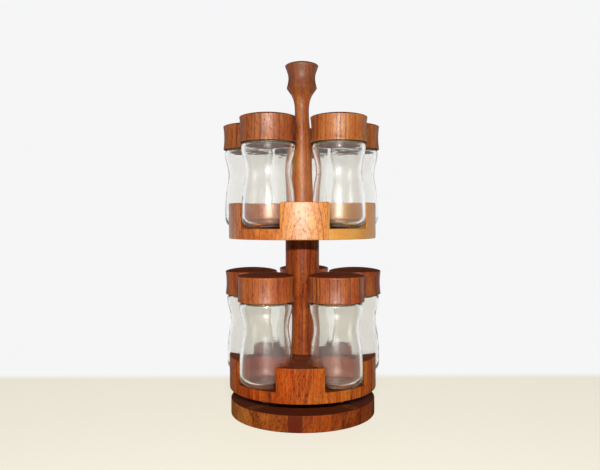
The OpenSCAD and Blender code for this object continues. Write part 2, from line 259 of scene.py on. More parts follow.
class GluedStaves(Effect):
    """Splits a block into staves at up to four joints, with a step of tone and of gold at each joint."""

    def inputs(self) -> dict[str, tuple[str, object]]:
        """Returns the group's inputs."""
        values = {"Joint": 1000.0, "Tone": 0.0, "Gold": 0.0}
        steps = {f"{name} {k}": ("Float", value) for k in range(1, 5) for name, value in values.items()}
        return {"Vector": ("Vector", None), **steps, "Shift": ("Float", 50.0), "Seed": ("Float", 0.0),
                "Own": ("Float", -1.0)}

    def outputs(self) -> dict[str, str]:
        """Returns the group's outputs."""
        return {"Vector": "Vector", "Tone": "Float", "Gold": "Float", "Glue": "Float"}

    def wire(self, graph: Graph, given: bpy.types.Node) -> dict[str, bpy.types.NodeSocket]:
        """Builds the staves, of which the one whose number is Own keeps the log's own place.

        Args:
            graph: the group's tree.
            given: the group's input node.

        Returns:
            The point in its stave's own wood, the stave's tone and gold, and a mask of the glue lines.
        """
        across = graph.add("SeparateXYZ", {0: given.outputs["Vector"]}).outputs["X"]
        index, tone, gold, glue = given.outputs["Seed"], 0.0, 0.0, 0.0
        for k in range(1, 5):
            past = graph.math("SUBTRACT", across, given.outputs[f"Joint {k}"])
            over = graph.math("GREATER_THAN", past, 0.0)
            index = graph.math("ADD", index, over)
            tone = graph.math("MULTIPLY_ADD", over, given.outputs[f"Tone {k}"], tone)
            gold = graph.math("MULTIPLY_ADD", over, given.outputs[f"Gold {k}"], gold)
            glue = graph.math("MAXIMUM", glue, graph.ramp(graph.math("ABSOLUTE", past), 0.28, 0.1))
        chance = graph.add("TexWhiteNoise", {"W": index}, noise_dimensions="1D")
        own = graph.add("Math", {0: index, 1: given.outputs["Own"], 2: 0.5}, operation="COMPARE").outputs[0]
        reach = graph.math("MULTIPLY", given.outputs["Shift"], graph.math("SUBTRACT", 1.0, own))
        offset = graph.vector("SUBTRACT", chance.outputs["Color"], (0.5, 0.5, 0.5))
        moved = graph.vector("ADD", given.outputs["Vector"], graph.scaled(offset, reach))
        return {"Vector": moved, "Tone": tone, "Gold": gold, "Glue": glue}


class HandWear(Effect):
    """Where hands and shelves have rubbed: the sharp edges and a drifting smear, from 0 to 1."""

    def inputs(self) -> dict[str, tuple[str, object]]:
        """Returns the group's inputs."""
        return {"Vector": ("Vector", None), "Pointiness": ("Float", 0.5), "Reach": ("Float", 0.06)}

    def outputs(self) -> dict[str, str]:
        """Returns the group's outputs."""
        return {"Edge": "Float", "Smear": "Float", "Grit": "Float"}

    def wire(self, graph: Graph, given: bpy.types.Node) -> dict[str, bpy.types.NodeSocket]:
        """Builds the wear.

        Args:
            graph: the group's tree.
            given: the group's input node.

        Returns:
            The masks of the rubbed edges, of the smears and of fine grit.
        """
        point = given.outputs["Vector"]
        broken = graph.noise(graph.vector("MULTIPLY", point, (0.35, 0.35, 0.35)), 3.0, 0.6)
        raised = graph.math("SUBTRACT", given.outputs["Pointiness"], 0.5)
        edge = graph.ramp(raised, 0.01, given.outputs["Reach"])
        edge = graph.math("MULTIPLY", edge, graph.ramp(broken, 0.3, 0.7))
        smear = graph.ramp(graph.noise(graph.vector("MULTIPLY", point, (0.06, 0.06, 0.045)), 4.0, 0.6), 0.42, 0.68)
        grit = graph.ramp(graph.noise(graph.vector("MULTIPLY", point, (1.7, 1.7, 1.7)), 2.0, 0.6), 0.6, 0.78)
        return {"Edge": edge, "Smear": smear, "Grit": grit}


TEAK_FIGURE = TeakFigure("teak_figure")
GLUED_STAVES = GluedStaves("glued_staves")
HAND_WEAR = HandWear("hand_wear")


# Finishes


class Coat:
    """A material in the making: its graph, its Principled shader and the point in millimetres."""

    def __init__(self, name: str) -> None:
        """Starts the material."""
        self.material = bpy.data.materials.new(name)
        self.material.use_nodes = True
        tree = self.material.node_tree
        self.graph = Graph(tree)
        self.shader = tree.nodes["Principled BSDF"]
        self.surface = tree.nodes["Material Output"].inputs["Surface"]
        self.point = self.graph.scaled(self.graph.add("TexCoord").outputs["Object"], 1.0 / MM)

    def wear(self, reach: float = 0.06) -> bpy.types.Node:
        """Places the wear effect in the material."""
        pointiness = self.graph.add("NewGeometry").outputs["Pointiness"]
        inputs = {"Vector": self.point, "Pointiness": pointiness, "Reach": reach}
        return self.graph.group(HAND_WEAR.group(), inputs)

    def noise(self, scale: tuple[float, float, float], detail: float, rough: float) -> bpy.types.NodeSocket:
        """Returns a noise with its own scale along each axis."""
        return self.graph.noise(self.graph.vector("MULTIPLY", self.point, scale), detail, rough)

    def bump(self, height: object, strength: float, depth: float) -> None:
        """Feeds a height to the shader's normal.

        Args:
            height: the height, from 0 to 1.
            strength: how strongly it shows.
            depth: what a height of 1 stands for, in millimetres.
        """
        inputs = {"Height": height, "Strength": strength, "Distance": depth * MM}
        self.set("Normal", self.graph.add("Bump", inputs).outputs["Normal"])

    def set(self, name: str, value: object) -> None:
        """Sets or feeds one of the shader's inputs."""
        self.graph.feed(self.shader.inputs[name], value)


@dataclass(frozen=True)
class Finish:
    """A surface finish that makes one material."""

    name: str

    def material(self) -> bpy.types.Material:
        """Returns the material."""
        raise NotImplementedError


@dataclass(frozen=True)
class Stave:
    """One board of a glued block: where it ends, how much darker it is and how golden."""

    end: float = 1000.0
    tone: float = 0.0
    gold: float = 0.0


@dataclass(frozen=True)
class Teak(Finish):
    """Oiled teak with its own log: where the pith lies, how it leans and how strongly it is striped."""

    centre: tuple[float, float, float] = (0.0, 0.0, 0.0)
    pith: Pair = (25.0, 60.0)
    lean: Pair = (3.0, -2.0)
    ring: float = 2.6
    stripe: float = 0.3
    line: float = 0.35
    drift: float = 4.0
    tone: float = 0.0
    light: Colour = (0.62, 0.19, 0.02)
    mid: Colour = (0.42, 0.082, 0.006)
    dark: Colour = (0.13, 0.02, 0.004)
    staves: tuple[Stave, ...] = (Stave(),)
    seed: float = 0.0
    own: float = -1.0
    handled_above: float = 1000.0
    handled: Colour = (0.15, 0.055, 0.035)
    sheen: Colour = (1.0, 0.93, 0.85)
    fleck: float = 0.25
    # end: how strongly faces that point up or down darken, standing for end grain and for painted shade on the tops.
    end: float = 1.0
    oil: float = 0.9
    rough: float = 0.42

    def material(self) -> bpy.types.Material:
        """Returns the material: figure, glue lines, end grain darkened further as painted shade on faces that point up
        or down, wear and a fine open-pored bump.
        """
        coat = Coat(self.name)
        graph = coat.graph
        place = graph.vector("SUBTRACT", coat.point, self.centre)
        angles = (math.radians(self.lean[0]), math.radians(self.lean[1]), 0.0)
        wood = {"Vector": place, "Seed": self.seed, "Own": self.own}
        for k, (left, right) in enumerate(zip(self.staves, self.staves[1:]), start=1):
            wood.update({f"Joint {k}": left.end, f"Tone {k}": right.tone - left.tone,
                         f"Gold {k}": right.gold - left.gold})
        staves = graph.group(GLUED_STAVES.group(), wood)
        first = self.staves[0]
        leaning = graph.add("Mapping", {"Vector": staves.outputs["Vector"], "Rotation": angles,
                                        "Location": (-self.pith[0], -self.pith[1], 0.0)})
        # Faces that point up or down are darkened by end: end grain, and painted shade on the tops beyond it.
        upright = graph.add("SeparateXYZ", {0: graph.add("TexCoord").outputs["Normal"]}).outputs["Z"]
        end = graph.math("MULTIPLY", graph.ramp(graph.math("ABSOLUTE", upright), 0.45, 0.95), self.end)
        figure = graph.group(TEAK_FIGURE.group(), {
            "Vector": leaning.outputs["Vector"], "Ring": self.ring, "Stripe": self.stripe, "Line": self.line,
            "Fleck": self.fleck, "Drift": self.drift, "Tone": graph.math("ADD", staves.outputs["Tone"], first.tone + self.tone),
            "Gold": graph.math("ADD", staves.outputs["Gold"], first.gold), "End": end,
            "Light": (*self.light, 1.0), "Mid": (*self.mid, 1.0), "Dark": (*self.dark, 1.0)})
        wear = coat.wear()
        colour = graph.mixed(graph.math("MULTIPLY", staves.outputs["Glue"], 0.6), figure.outputs["Color"],
                             (*self.dark, 1.0))
        colour = graph.mixed(graph.math("MULTIPLY", wear.outputs["Edge"], 0.3), colour, (*self.light, 1.0))
        height = graph.add("SeparateXYZ", {0: coat.point}).outputs["Z"]
        held = graph.ramp(height, self.handled_above, self.handled_above + 14.0)
        colour = graph.mixed(graph.math("MULTIPLY", held, 0.55), colour, (*self.handled, 1.0))
        coat.set("Base Color", colour)
        rough = graph.math("ADD", figure.outputs["Roughness"], self.rough)
        coat.set("Roughness", graph.math("MULTIPLY_ADD", wear.outputs["Smear"], -0.05, rough))
        coat.set("IOR", 1.5)
        coat.set("Specular Tint", (*self.sheen, 1.0))
        coat.set("Specular IOR Level", self.oil)
        coat.bump(figure.outputs["Height"], 1.0, 0.12)
        return coat.material


@dataclass(frozen=True)
class Glass(Finish):
    """Clear pressed glass with a faint grey-green body and the slow ripple of a mould."""

    tint: Colour = (0.945, 0.94, 0.912)
    shade: Colour = (0.94, 0.94, 0.925)
    ripple: float = 0.5
    wave: float = 0.4
    glint: Colour = (0.9, 0.92, 0.96)
    haze: float = 0.15

    def material(self) -> bpy.types.Material:
        """Returns the material. Light meant for what is behind the glass passes straight through."""
        coat = Coat(self.name)
        graph = coat.graph
        slow = coat.noise((0.07, 0.07, 0.03), 1.0, 0.4)
        fine = coat.noise((0.04, 0.04, 0.3), 2.0, 0.5)
        share = self.wave / self.ripple
        coat.bump(graph.math("MULTIPLY_ADD", fine, share, slow), 0.5, self.ripple)
        coat.set("Roughness", 0.0)
        coat.set("Specular Tint", (*self.glint, 1.0))
        coat.set("Coat Weight", graph.math("MULTIPLY_ADD", coat.wear().outputs["Smear"], 0.2, self.haze))
        coat.set("Coat Roughness", 0.3)
        coat.set("Base Color", (*self.tint, 1.0))
        coat.set("Transmission Weight", 1.0)
        coat.set("IOR", 1.5)
        through = graph.add("BsdfTransparent", {"Color": (*self.shade, 1.0)})
        path = graph.add("LightPath")
        passing = graph.math("MAXIMUM", path.outputs["Is Shadow Ray"], path.outputs["Is Diffuse Ray"])
        both = graph.add("MixShader", {0: passing, 1: coat.shader.outputs["BSDF"], 2: through.outputs["BSDF"]})
        graph.feed(coat.surface, both.outputs["Shader"])
        return coat.material


@dataclass(frozen=True)
class Rubber(Finish):
    """Dull rubber with a dusty bloom."""

    colour: Colour = (0.07, 0.045, 0.012)

    def material(self) -> bpy.types.Material:
        """Returns the material."""
        coat = Coat(self.name)
        mottle = coat.noise((0.5, 0.5, 0.5), 4.0, 0.6)
        pale = tuple(c * 1.9 + 0.02 for c in self.colour)
        share = coat.graph.ramp(mottle, 0.3, 0.75)
        coat.set("Base Color", coat.graph.mixed(share, (*self.colour, 1.0), (*pale, 1.0)))
        coat.set("Roughness", coat.graph.math("MULTIPLY_ADD", coat.wear().outputs["Grit"], 0.2, 0.55))
        coat.bump(mottle, 0.2, 0.2)
        return coat.material


@dataclass(frozen=True)
class Felt(Finish):
    """Matted wool felt."""

    colour: Colour = (0.022, 0.05, 0.02)

    def material(self) -> bpy.types.Material:
        """Returns the material."""
        coat = Coat(self.name)
        clump = coat.noise((0.9, 0.9, 0.9), 6.0, 0.75)
        thread = coat.noise((7.0, 1.2, 3.0), 3.0, 0.7)
        pale = tuple(c * 2.2 + 0.01 for c in self.colour)
        share = coat.graph.ramp(clump, 0.3, 0.75)
        coat.set("Base Color", coat.graph.mixed(share, (*self.colour, 1.0), (*pale, 1.0)))
        coat.set("Roughness", coat.graph.math("MULTIPLY_ADD", thread, 0.1, 0.88))
        coat.set("Sheen Weight", 0.35)
        coat.bump(coat.graph.math("ADD", clump, thread), 0.8, 0.4)
        return coat.material


@dataclass(frozen=True)
class Steel(Finish):
    """Plated steel, brushed or polished."""

    colour: Colour = (0.56, 0.55, 0.52)
    rough: float = 0.32
    brushed: float = 0.12

    def material(self) -> bpy.types.Material:
        """Returns the material."""
        coat = Coat(self.name)
        graph = coat.graph
        wear = coat.wear()
        streak = coat.noise((0.25, 5.0, 5.0), 4.0, 0.6)
        dull = tuple(c * 0.55 for c in self.colour)
        share = graph.math("MULTIPLY", wear.outputs["Smear"], 0.5)
        coat.set("Base Color", graph.mixed(share, (*self.colour, 1.0), (*dull, 1.0)))
        rough = graph.math("MULTIPLY_ADD", streak, self.brushed, self.rough)
        coat.set("Roughness", graph.math("MULTIPLY_ADD", wear.outputs["Grit"], 0.1, rough))
        coat.set("Metallic", 1.0)
        coat.bump(streak, 0.15, 0.05)
        return coat.material


# Turned sections and meshes


class Outline:
    """Half of a turned piece's section, drawn from point to point in millimetres of radius and height."""

    MARGIN = 0.3

    def __init__(self, radius: float, height: float) -> None:
        """Starts the outline at a point."""
        self.points = [Vector((radius, 0.0, height))]

    def to(self, radius: float, height: float) -> "Outline":
        """Draws a straight side.

        Args:
            radius: the end's radius.
            height: the end's height.

        Returns:
            The outline itself. A long side gets a point near each end, which keeps its shading flat.
        """
        start, end = self.points[-1], Vector((radius, 0.0, height))
        length = (end - start).length
        if length > 4 * self.MARGIN:
            step = (end - start) * (self.MARGIN / length)
            self.points += [start + step, end - step]
        self.points.append(end)
        return self

    def curve(self, first: Pair, second: Pair, end: Pair, steps: int = 24) -> "Outline":
        """Draws a curve.

        Args:
            first: the handle at the curve's start.
            second: the handle at its end.
            end: its end.
            steps: how many short sides it is made of.

        Returns:
            The outline itself.
        """
        b, c, d = (Vector((p[0], 0.0, p[1])) for p in (first, second, end))
        self.points += interpolate_bezier(self.points[-1], b, c, d, steps + 1)[1:]
        return self

    def round(self, centre: Pair, start: float, end: float, steps: int = 8) -> "Outline":
        """Draws an arc round a centre, from the last point's distance, between two angles in degrees."""
        middle = Vector((centre[0], 0.0, centre[1]))
        reach = (self.points[-1] - middle).length
        for k in range(1, steps + 1):
            a = math.radians(start + (end - start) * k / steps)
            self.points.append(middle + reach * Vector((math.cos(a), 0.0, math.sin(a))))
        return self

    def turned(self, segments: int = 128) -> bmesh.types.BMesh:
        """Spins the outline round the Z axis.

        Args:
            segments: how many steps a full turn takes.

        Returns:
            A closed mesh in metres.
        """
        bm = bmesh.new()
        verts = [bm.verts.new(p * MM) for p in self.points]
        edges = [bm.edges.new(pair) for pair in zip(verts, verts[1:])]
        if self.points[0].x > 0 and self.points[-1].x > 0:
            edges.append(bm.edges.new((verts[-1], verts[0])))
        bmesh.ops.spin(bm, geom=verts + edges, axis=(0, 0, 1), cent=(0, 0, 0), angle=math.tau, steps=segments,
                       use_merge=True, use_duplicate=False)
        bmesh.ops.remove_doubles(bm, verts=bm.verts, dist=1e-7)
        bmesh.ops.dissolve_degenerate(bm, edges=bm.edges, dist=1e-7)
        bmesh.ops.recalc_face_normals(bm, faces=bm.faces)
        return bm


def finished(name: str, bm: bmesh.types.BMesh, place: Vector, material: bpy.types.Material,
             sharp: float = 38.0) -> bpy.types.Object:
    """Turns a bmesh into a piece with its place in its mesh.

    Args:
        name: the piece's name.
        bm: the shape, round the origin. It is freed.
        place: where the shape's origin goes, in metres.
        material: the piece's finish.
        sharp: the angle in degrees past which an edge is shaded sharp.

    Returns:
        The piece, with its object at the origin.
    """
    bmesh.ops.translate(bm, verts=bm.verts, vec=place)
    limit = math.radians(sharp)
    for face in bm.faces:
        face.smooth = True
    for edge in bm.edges:
        edge.smooth = edge.calc_face_angle(0.0) < limit
    mesh = bpy.data.meshes.new(name)
    bm.to_mesh(mesh)
    bm.free()
    mesh.materials.append(material)
    piece = bpy.data.objects.new(name, mesh)
    bpy.context.scene.collection.objects.link(piece)
    return piece


def stand_for(piece: bpy.types.Object, node: str, body: str) -> None:
    """Puts a piece in a CAD node's stead: it rides on the node's body, and the node is hidden."""
    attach(piece, body)
    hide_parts(node)
    LOG.info("%s stands for %s on %s: %d faces", piece.name, node, body, len(piece.data.polygons))


def dress(node: str, material: bpy.types.Material) -> None:
    """Gives a CAD node that stays a better material."""
    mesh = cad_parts[node].data
    mesh.materials.clear()
    mesh.materials.append(material)
    LOG.info("%s keeps its shape in %s", node, material.name)


def floor_of(node: str) -> float:
    """Returns the height in metres of a CAD node's lowest point."""
    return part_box(node)[0].z


def middle_of(node: str) -> Vector:
    """Returns the middle of a CAD node's box, on its underside."""
    low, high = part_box(node)
    return Vector(((low.x + high.x) / 2, (low.y + high.y) / 2, low.z))


# Sub-assemblies


@dataclass
class Base:
    """The base disc with its felt, and the bearing that it carries."""

    radius: float = 68.75
    height: float = 15.1
    edge: float = 0.8
    felt_radius: float = 62.0
    felt_depth: float = 0.8
    access_radius: float = 6.5
    access_place: float = 45.96
    screw_place: float = 32.5
    # Its end=1.3 darkens the top almost to the dark colour: end grain, and painted shade under the lower tier.
    wood: Teak = Teak("base_oiled", lean=(3.0, -13.0), pith=(18.0, 95.0), stripe=0.15, line=0.3, tone=0.3,
                      seed=4.0, oil=0.12, end=1.3, fleck=0.3,
                      staves=(Stave(-45.0, -0.33, 1.2), Stave(-13.0, 0.02, 0.5), Stave(-0.5, 0.4, -0.5),
                              Stave(34.0, -0.02, 0.0), Stave(tone=0.04, gold=0.2)))
    felt: Felt = Felt("green_felt")
    plate: Steel = Steel("zinc_plate", (0.26, 0.26, 0.22), 0.45)
    screw: Steel = Steel("screw_steel", rough=0.25)
    ball: Steel = Steel("ball_steel", (0.7, 0.7, 0.7), 0.12, 0.03)

    def disc(self) -> bmesh.types.BMesh:
        """Returns the disc with its recess underneath, still without the screwdriver hole."""
        r, h, e = self.radius, self.height, self.edge
        line = Outline(0.0, self.felt_depth).to(self.felt_radius, self.felt_depth).to(self.felt_radius, 0.0)
        line.to(r - e, 0.0).round((r - e, e), -90, 0)
        line.to(r, h - e).round((r - e, h - e), 0, 90).to(0.0, h)
        return line.turned(160)

    def drilled(self, piece: bpy.types.Object) -> None:
        """Cuts the screwdriver hole through the disc, as the CAD node has it."""
        bm = bmesh.new()
        bmesh.ops.create_cone(bm, cap_ends=True, segments=48, radius1=self.access_radius * MM,
                              radius2=self.access_radius * MM, depth=0.06)
        cutter = finished("access_cutter", bm, Vector((0, self.access_place * MM, 0)), piece.data.materials[0])
        cut = piece.modifiers.new("access_hole", "BOOLEAN")
        cut.operation = "DIFFERENCE"
        cut.solver = "EXACT"
        cut.object = cutter
        graph = bpy.context.evaluated_depsgraph_get()
        mesh = bpy.data.meshes.new_from_object(piece.evaluated_get(graph))
        piece.modifiers.clear()
        piece.data = mesh
        bpy.data.objects.remove(cutter)

    def build(self) -> None:
        """Makes the disc, and dresses the felt and the bearing."""
        place = Vector((0.0, 0.0, floor_of("base_disc")))
        disc = finished("base_turned", self.disc(), place, self.wood.material())
        self.drilled(disc)
        stand_for(disc, "base_disc", "base")
        dress("base_felt", self.felt.material())
        plate, screw = self.plate.material(), self.screw.material()
        for side in ("lower", "upper"):
            dress(f"bearing_{side}_plate", plate)
            dress(f"bearing_{side}_screws", screw)
        dress("bearing_balls", self.ball.material())


@dataclass
class Tier:
    """One round tier with five pockets that break out through its rim."""

    level: Level
    turn: float
    height: float
    wood: Teak
    radius: float = 70.0
    floor: float = 9.7
    pocket_radius: float = 25.1
    jar_circle: float = 53.65
    edge: float = 0.65
    pockets: int = 5

    @property
    def node(self) -> str:
        """The tier's CAD node."""
        return f"tier_{self.level.value}"

    def arc(self, bm: bmesh.types.BMesh, centre: Vector, reach: float, start: float, end: float,
            steps: int) -> list[bmesh.types.BMVert]:
        """Adds an arc's points between two angles, without its ends.

        Args:
            bm: the mesh.
            centre: the arc's centre.
            reach: its radius.
            start: the angle it starts from, in radians.
            end: the angle it ends at.
            steps: how many short sides it has.

        Returns:
            The new vertices.
        """
        angles = [start + (end - start) * k / steps for k in range(1, steps)]
        return [bm.verts.new(centre + reach * Vector((math.cos(a), math.sin(a), 0.0))) for a in angles]

    def plan(self, bm: bmesh.types.BMesh) -> tuple[bmesh.types.BMFace, list[bmesh.types.BMFace]]:
        """Draws the tier's plan: the crown between the pockets, and each pocket's floor.

        Args:
            bm: an empty mesh.

        Returns:
            The crown's face and the pocket floors.
        """
        r, c, p = self.radius * MM, self.jar_circle * MM, self.pocket_radius * MM
        half = math.acos((r * r + c * c - p * p) / (2 * r * c))
        swing = math.atan2(r * math.sin(half), r * math.cos(half) - c)
        step = math.tau / self.pockets
        crown: list[bmesh.types.BMVert] = []
        floors: list[list[bmesh.types.BMVert]] = []
        corners = []
        for i in range(self.pockets):
            mid = math.radians(-90 + self.turn) + step * (i + 0.5)
            corners.append([bm.verts.new((r * math.cos(a), r * math.sin(a), 0.0)) for a in (mid - half, mid + half)])
        for i in range(self.pockets):
            mid = math.radians(-90 + self.turn) + step * (i + 0.5)
            centre = Vector((c * math.cos(mid), c * math.sin(mid), 0.0))
            near, far = corners[i]
            wall = self.arc(bm, centre, p, mid - swing, mid + swing - math.tau, 44)
            mouth = self.arc(bm, Vector(), r, mid - half, mid + half, 14)
            rim = self.arc(bm, Vector(), r, mid + half, mid + step - half, 14)
            crown += [near, *wall, far, *rim]
            floors.append([near, *mouth, far, *reversed(wall)])
        return bm.faces.new(crown), [bm.faces.new(loop) for loop in floors]

    def shape(self) -> bmesh.types.BMesh:
        """Raises the plan into the tier and rounds its edges.

        Returns:
            The tier's mesh, standing on z = 0.
        """
        bm = bmesh.new()
        crown, floors = self.plan(bm)
        bmesh.ops.recalc_face_normals(bm, faces=bm.faces)
        below = bmesh.ops.extrude_face_region(bm, geom=bm.faces[:], use_keep_orig=True)
        low = [g for g in below["geom"] if isinstance(g, bmesh.types.BMVert)]
        bmesh.ops.translate(bm, verts=low, vec=(0, 0, -self.floor * MM))
        under = [g for g in below["geom"] if isinstance(g, bmesh.types.BMFace)]
        bmesh.ops.dissolve_faces(bm, faces=under)
        raised = bmesh.ops.extrude_face_region(bm, geom=[crown])
        high = [g for g in raised["geom"] if isinstance(g, bmesh.types.BMVert)]
        bmesh.ops.delete(bm, geom=[crown], context="FACES_ONLY")
        bmesh.ops.translate(bm, verts=high, vec=(0, 0, (self.height - self.floor) * MM))
        bmesh.ops.translate(bm, verts=bm.verts, vec=(0, 0, self.floor * MM))
        bmesh.ops.recalc_face_normals(bm, faces=bm.faces)
        self.round_edges(bm)
        self.hold_shading(bm)
        return bm

    def round_edges(self, bm: bmesh.types.BMesh) -> None:
        """Bevels the outward edges: rims, pocket mouths and the corners of the blocks."""
        edges = [e for e in bm.edges if len(e.link_faces) == 2 and e.calc_face_angle_signed(0.0) > math.radians(50)]
        bmesh.ops.bevel(bm, geom=edges, offset=self.edge * MM, offset_type="OFFSET", affect="EDGES", segments=3,
                        profile=0.5, material=-1, clamp_overlap=True)

    def hold_shading(self, bm: bmesh.types.BMesh) -> None:
        """Adds narrow rings beside the bevels so that the flats stay flat."""
        wide = [f for f in bm.faces if len(f.verts) > 40]
        bmesh.ops.inset_individual(bm, faces=wide, thickness=0.25 * MM, use_even_offset=True)
        margin = self.edge + 0.25
        for height in (margin, self.height - margin):
            bmesh.ops.bisect_plane(bm, geom=bm.verts[:] + bm.edges[:] + bm.faces[:], plane_co=(0, 0, height * MM),
                                   plane_no=(0, 0, 1))

    def build(self, body: str) -> None:
        """Makes the tier and rides it on its body."""
        place = Vector((0.0, 0.0, floor_of(self.node)))
        piece = finished(f"{self.node}_wood", self.shape(), place, self.wood.material())
        stand_for(piece, self.node, body)


@dataclass
class Posts:
    """The lower column and the turned handle above it."""

    column_height: float = 110.2
    column_top: float = 16.1
    column_straight: float = 29.0
    column_waist: Pair = (10.25, 31.0)
    column_foot: float = 11.4
    handle_foot: float = 10.7
    handle_shaft: Pair = (9.5, 38.5)
    handle_neck: Pair = (6.7, 87.1)
    ridge: Pair = (14.45, 109.9)
    knob_waist: float = 12.8
    knob_height: float = 20.9
    knob_radius: float = 15.9
    dome: float = 4.0
    column_wood: Teak = Teak("column_oiled", pith=(140.0, 20.0), lean=(0.8, -0.6), ring=2.2, stripe=0.25, line=0.3,
                             drift=2.0, tone=0.26, seed=9.0, oil=0.25)
    handle_wood: Teak = Teak("handle_oiled", pith=(-130.0, 30.0), lean=(-0.6, 0.9), ring=2.0, stripe=0.25,
                             line=0.3, drift=2.0, tone=0.02, seed=11.0, handled_above=300.0, oil=0.7,
                             staves=(Stave(gold=0.35),))
    steel: Steel = Steel("rod_steel", rough=0.3)

    def column(self) -> bmesh.types.BMesh:
        """Returns the column, standing on z = 0."""
        waist_r, waist_z = self.column_waist
        top_z = self.column_height - self.column_straight
        swell = top_z - waist_z
        foot = self.column_foot
        line = Outline(0.0, 0.0).to(foot, 0.0)
        line.curve((foot + (waist_r - foot) * 0.4, waist_z * 0.3), (waist_r, waist_z * 0.6), self.column_waist)
        line.curve((waist_r, waist_z + swell * 0.45), (self.column_top, top_z - swell * 0.35),
                   (self.column_top, top_z))
        line.to(self.column_top, self.column_height).to(0.0, self.column_height)
        return line.turned(112)

    def handle(self) -> bmesh.types.BMesh:
        """Returns the handle with its neck, cove, ridge and domed knob, standing on z = 0."""
        foot, (shaft_r, shaft_z), (neck_r, neck_z) = self.handle_foot, self.handle_shaft, self.handle_neck
        ridge_r, ridge_z = self.ridge
        rim_z = ridge_z + self.knob_height
        top = rim_z + self.dome
        cove_r, cove_z = ridge_r - neck_r, ridge_z - neck_z
        thin = neck_z - shaft_z
        pull = (self.knob_waist - (ridge_r + self.knob_radius) / 8) * 4 / 3
        line = Outline(0.0, 0.0).to(foot, 0.0)
        line.curve(((foot + shaft_r) / 2, shaft_z * 0.6), (shaft_r, shaft_z * 0.6), self.handle_shaft)
        line.curve((shaft_r, shaft_z + thin * 0.38), (neck_r, neck_z - thin * 0.16), self.handle_neck)
        line.curve((neck_r, neck_z + cove_z * 0.68), (ridge_r - cove_r * 0.36, ridge_z - cove_z * 0.22), self.ridge)
        line.curve((pull, ridge_z + self.knob_height * 0.46), (pull, rim_z - self.knob_height * 0.48),
                   (self.knob_radius, rim_z))
        line.curve((self.knob_radius, rim_z + self.dome * 0.4), (self.knob_radius * 0.6, top), (0.0, top), 32)
        return line.turned(128)

    def build(self, body: str) -> None:
        """Makes both posts and dresses the tie rod."""
        for name, node, shape, wood in (("column_turned", "column", self.column(), self.column_wood),
                                        ("handle_turned", "handle_post", self.handle(), self.handle_wood)):
            piece = finished(name, shape, Vector((0.0, 0.0, floor_of(node))), wood.material(), 30.0)
            stand_for(piece, node, body)
        steel = self.steel.material()
        for node in ("tie_rod", "tie_washer", "tie_nut"):
            dress(node, steel)


